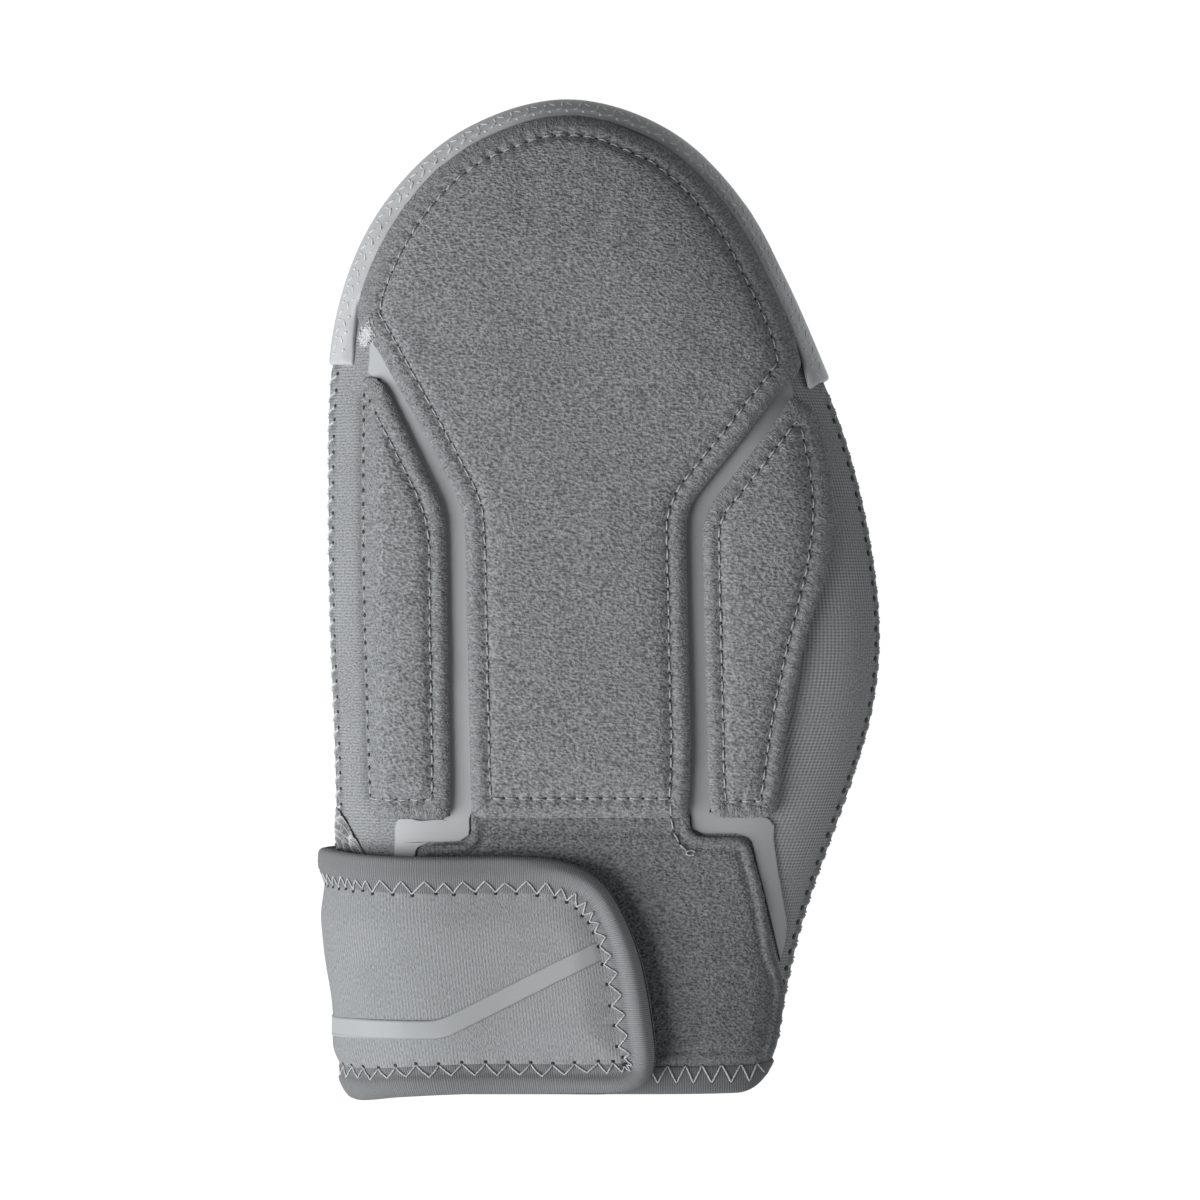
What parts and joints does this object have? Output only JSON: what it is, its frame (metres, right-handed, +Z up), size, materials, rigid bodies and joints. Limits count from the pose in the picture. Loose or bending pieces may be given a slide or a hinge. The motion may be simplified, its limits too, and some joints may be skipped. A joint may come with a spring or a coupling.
{
  "type": "sliding mitt",
  "caption": "Left-hand baseball sliding mitt: a padded neoprene pocket with a moulded finger guard, sewn back pads and a wrist strap closing on loop cloth.",
  "frame": {"origin": "middle of the mitt's box, on the surface that its palm lies on", "axes": "+X towards the thumb side, +Y towards the fingertips, +Z up out of the back of the hand"},
  "size_m": [0.1427, 0.2539, 0.0357],
  "materials": {
    "knit": "jersey-faced neoprene, matte",
    "loop": "brushed loop cloth, napped",
    "binding": "ribbed stretch tape, matte",
    "film": "bonded film, satin",
    "guard": "moulded rubber with small raised dashes"
  },
  "bodies": {
    "root": {"back_panel": "knit", "palm_panel": "knit", "wrist_strap": "knit", "finger_guard": "guard", "centre_pad": "loop", "outer_side_pad": "loop", "thumb_side_pad": "loop", "wrist_loop_patch": "loop", "film_strip_left": "film", "film_strip_right": "film", "strap_stripe": "film", "back_hem": "binding", "palm_hem": "binding", "strap_binding": "binding"}
  },
  "joints": []
}
